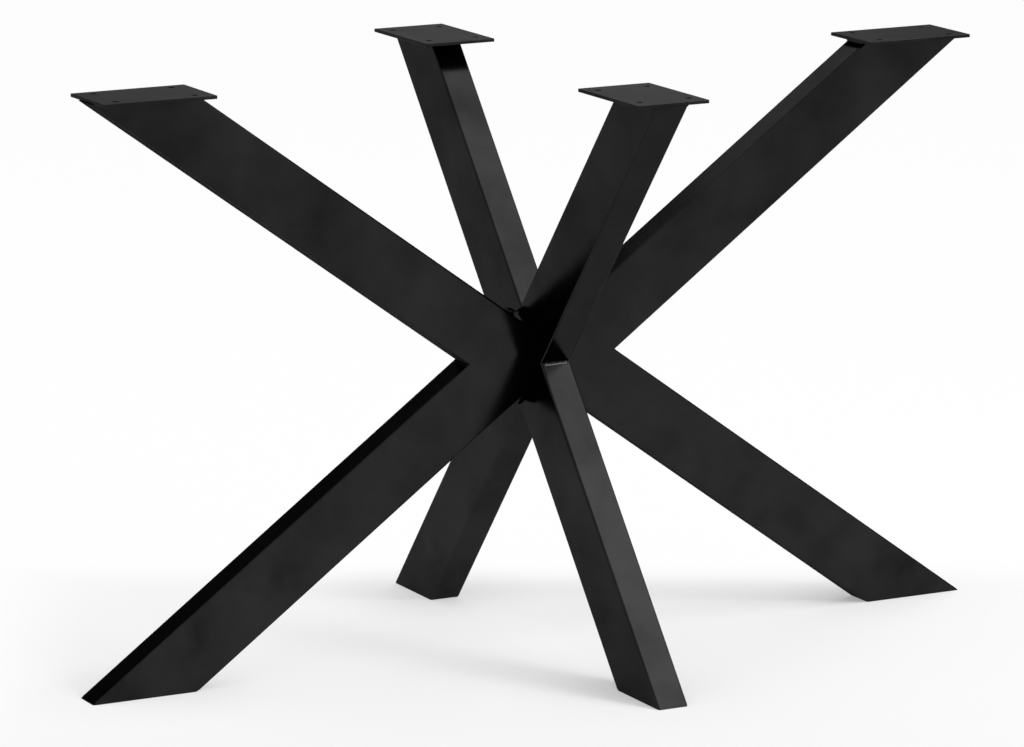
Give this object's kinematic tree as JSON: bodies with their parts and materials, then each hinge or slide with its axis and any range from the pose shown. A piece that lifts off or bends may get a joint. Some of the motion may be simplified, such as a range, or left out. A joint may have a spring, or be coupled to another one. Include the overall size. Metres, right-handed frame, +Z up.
{
  "type": "crossed tube table base",
  "caption": "Welded steel table base: upright X-shaped frames of rectangular tube cross at right angles, with flat mounting plates on top and legs cut flat on the floor.",
  "frame": {"origin": "on the floor, under the point where the legs cross", "axes": "+X along the long frame, left to right; +Y along the short frame, front to back; +Z up"},
  "size_m": [1.2, 0.7, 0.72],
  "materials": {
    "tube_coat": "satin black powder coat on steel tube",
    "plate_coat": "satin black powder coat on flat steel plate",
    "foot_plate_coat": "satin black powder coat on thin steel closing plates",
    "weld_coat": "satin black powder coat over weld beads"
  },
  "bodies": {
    "root": {"short_frame_through_tube": "tube_coat", "short_frame_front_half_tube": "tube_coat", "short_frame_back_half_tube": "tube_coat", "long_frame_left_upper_tube": "tube_coat", "long_frame_left_lower_tube": "tube_coat", "long_frame_right_upper_tube": "tube_coat", "long_frame_right_lower_tube": "tube_coat", "mounting_plate_left": "plate_coat", "mounting_plate_right": "plate_coat", "mounting_plate_front": "plate_coat", "mounting_plate_back": "plate_coat", "foot_plate_left": "foot_plate_coat", "foot_plate_right": "foot_plate_coat", "foot_plate_front": "foot_plate_coat", "foot_plate_back": "foot_plate_coat", "plate_welds_left": "weld_coat", "plate_welds_right": "weld_coat", "plate_welds_front": "weld_coat", "plate_welds_back": "weld_coat", "joint_welds_left": "weld_coat", "joint_welds_right": "weld_coat", "notch_weld_left": "weld_coat", "notch_weld_right": "weld_coat", "notch_weld_front": "weld_coat", "notch_weld_back": "weld_coat", "notch_weld_top": "weld_coat", "notch_weld_bottom": "weld_coat"}
  },
  "joints": []
}
